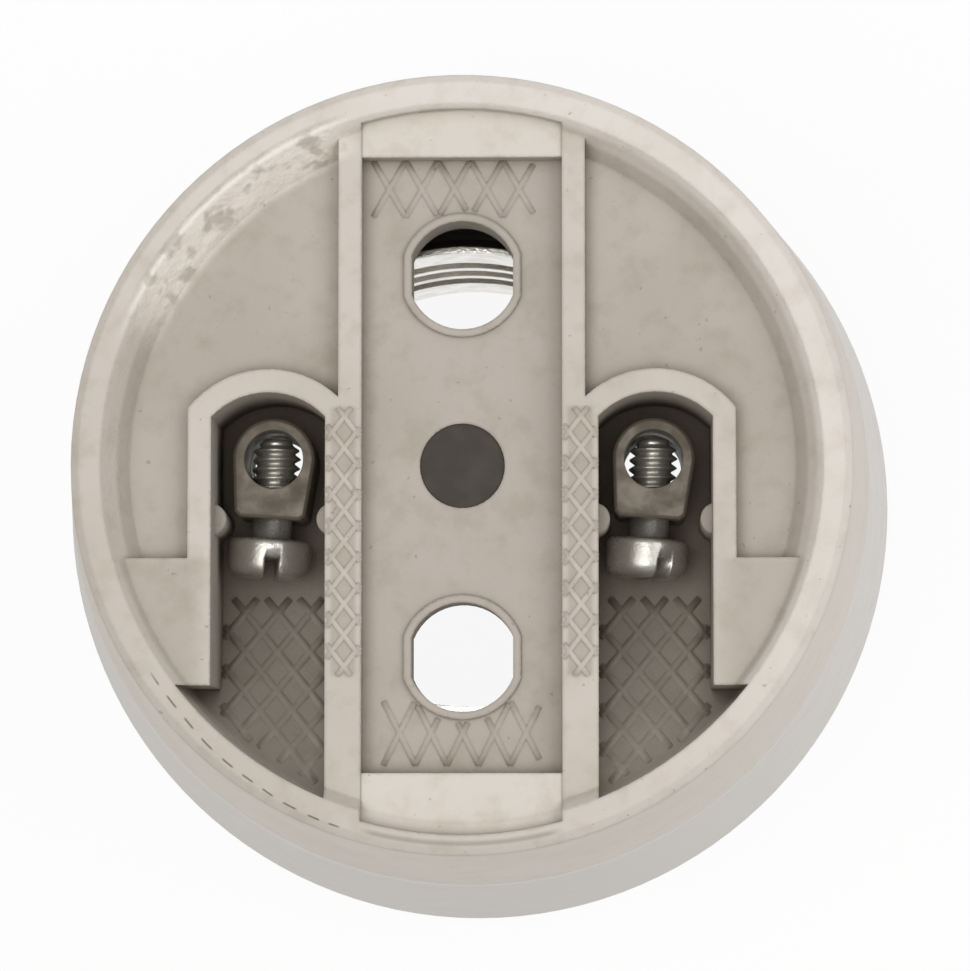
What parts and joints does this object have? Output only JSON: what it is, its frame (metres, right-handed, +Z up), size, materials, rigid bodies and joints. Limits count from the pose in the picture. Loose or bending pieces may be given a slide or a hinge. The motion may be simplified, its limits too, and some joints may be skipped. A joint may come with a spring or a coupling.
{
  "type": "lamp holder",
  "caption": "Porcelain screw-shell lamp holder seen from its terminal face, with two pillar terminals in wells beside a bracket channel.",
  "frame": {"origin": "centre of the mouth, on the plane of the mouth's edge that the holder stands on", "axes": "+Z up through the socket to the terminal face, +X towards the live terminal, +Y along the bracket channel away from the chutes"},
  "size_m": [0.048, 0.048, 0.037],
  "materials": {
    "porcelain": "bare unglazed porcelain face, thin cream glaze on the lower wall and in the mouth",
    "nickel_steel": "rolled nickel-plated sheet",
    "nickel_bronze": "nickel-plated spring bronze",
    "nickel_brass": "nickel-plated brass",
    "seal_compound": "matt dark grey filling compound",
    "terminal_metal": "dulled nickel-plated brass",
    "screw_steel": "bright zinc-plated steel"
  },
  "bodies": {
    "holder": {"porcelain_body": "porcelain", "screw_shell": "nickel_steel", "centre_contact": "nickel_bronze", "centre_rivet": "nickel_brass", "centre_seal": "seal_compound", "neutral_terminal_block": "terminal_metal", "live_terminal_block": "terminal_metal"},
    "neutral_screw": {"neutral_clamp_screw": "screw_steel"},
    "live_screw": {"live_clamp_screw": "screw_steel"}
  },
  "joints": [
    {"name": "neutral_screw_travel", "type": "slide", "parent": "holder", "child": "neutral_screw", "axis": [-0.0698, -0.9976, 0], "range_m": [0, 0.0028]},
    {"name": "live_screw_travel", "type": "slide", "parent": "holder", "child": "live_screw", "axis": [-0.0698, -0.9976, 0], "range_m": [0, 0.0028]}
  ]
}
